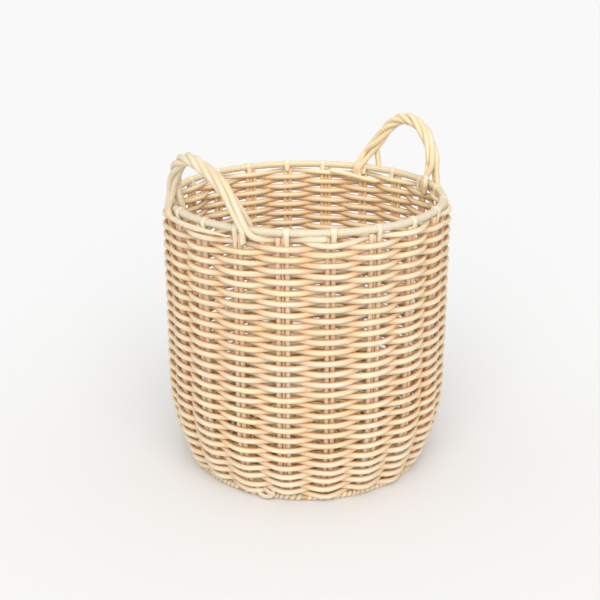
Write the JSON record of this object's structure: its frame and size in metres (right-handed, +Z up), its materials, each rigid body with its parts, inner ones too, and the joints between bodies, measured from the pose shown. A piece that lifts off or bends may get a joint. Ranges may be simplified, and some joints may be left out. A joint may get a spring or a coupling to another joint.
{
  "type": "woven wicker basket",
  "caption": "Round open-topped wicker basket, plain weave over upright rods, wound rim, tapered foot and twisted loop handles on opposite sides.",
  "frame": {"origin": "centre of the foot, on the surface that the basket stands on", "axes": "+Z up through the open mouth; the two handles are on the +X and -X sides, +X right and -X left"},
  "size_m": [0.3026, 0.3002, 0.3565],
  "materials": {
    "weaver": "peeled rattan core, satin",
    "stake": "peeled rattan core, satin",
    "binding": "split rattan peel, satin",
    "strap": "split rattan peel, satin",
    "base_weaver": "peeled rattan core, satin",
    "handle": "peeled rattan core, satin"
  },
  "bodies": {
    "root": {"weaver_pair_01": "weaver", "weaver_pair_02": "weaver", "weaver_pair_03": "weaver", "weaver_pair_04": "weaver", "weaver_pair_05": "weaver", "weaver_pair_06": "weaver", "weaver_pair_07": "weaver", "weaver_pair_08": "weaver", "weaver_pair_09": "weaver", "weaver_pair_10": "weaver", "weaver_pair_11": "weaver", "weaver_pair_12": "weaver", "weaver_pair_13": "weaver", "weaver_pair_14": "weaver", "weaver_pair_15": "weaver", "weaver_pair_16": "weaver", "weaver_pair_17": "weaver", "weaver_pair_18": "weaver", "weaver_pair_19": "weaver", "weaver_pair_20": "weaver", "weaver_pair_21": "weaver", "weaver_pair_22": "weaver", "weaver_pair_23": "weaver", "weaver_pair_24": "weaver", "weaver_pair_25": "weaver", "stake_group_01": "stake", "stake_group_02": "stake", "stake_group_03": "stake", "stake_group_04": "stake", "stake_group_05": "stake", "stake_group_06": "stake", "stake_group_07": "stake", "stake_group_08": "stake", "stake_group_09": "stake", "stake_group_10": "stake", "stake_group_11": "stake", "stake_group_12": "stake", "stake_group_13": "stake", "stake_group_14": "stake", "stake_group_15": "stake", "stake_group_16": "stake", "stake_group_17": "stake", "stake_group_18": "stake", "stake_group_19": "stake", "stake_group_20": "stake", "rim_hoop": "stake", "rim_binding": "binding", "rim_straps": "strap", "foot_hoop": "stake", "foot_binding": "binding", "base_sticks": "stake", "base_weave": "base_weaver", "left_handle_strand_1": "handle", "left_handle_strand_2": "handle", "left_handle_strand_3": "handle", "left_handle_strand_4": "handle", "right_handle_strand_1": "handle", "right_handle_strand_2": "handle", "right_handle_strand_3": "handle", "right_handle_strand_4": "handle"}
  },
  "joints": []
}
